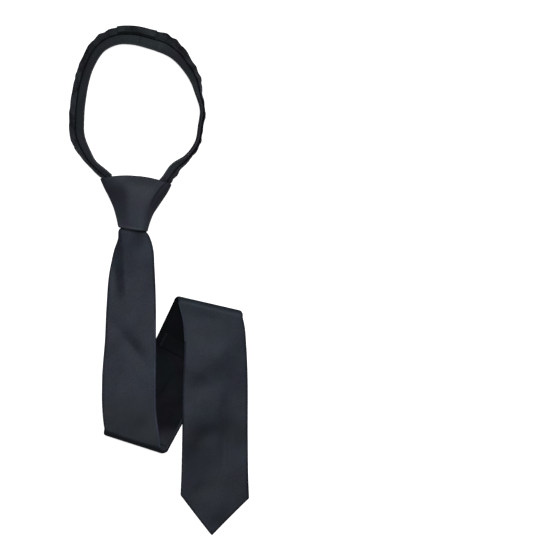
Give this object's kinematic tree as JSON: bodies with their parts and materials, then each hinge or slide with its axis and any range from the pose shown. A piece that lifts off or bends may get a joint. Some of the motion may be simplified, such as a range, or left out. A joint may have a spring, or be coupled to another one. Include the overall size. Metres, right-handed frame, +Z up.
{
  "type": "zipper tie",
  "caption": "Slim ready-tied necktie with a fixed knot and a zipped neck loop, lying face up with its blade folded under and over again.",
  "frame": {"origin": "on the table, under the middle of the tie's outline as it lies", "axes": "+Y from the blade's tip to the neck loop, +Z up from the table, out of the tie's face"},
  "size_m": [0.1343, 0.3791, 0.0202],
  "materials": {
    "tie_cloth": "fine diagonal ribs, soft sheen",
    "back_lining": "smooth near-black lining",
    "keeper_band": "plain woven band",
    "gathered_cloth": "gathered ribbed cloth",
    "zip_tape": "close woven zip tape",
    "zip_coil": "satin nylon coil",
    "slider_enamel": "satin enamel"
  },
  "bodies": {
    "root": {"knot": "tie_cloth", "blade": "tie_cloth", "back_lining": "back_lining", "keeper_loop": "keeper_band", "cover_left": "gathered_cloth", "cover_right": "gathered_cloth", "neck_joint": "gathered_cloth", "tape_left": "zip_tape", "tape_right": "zip_tape", "coil_left": "zip_coil", "coil_right": "zip_coil", "zip_slider": "slider_enamel", "zip_tail": "zip_tape"}
  },
  "joints": []
}
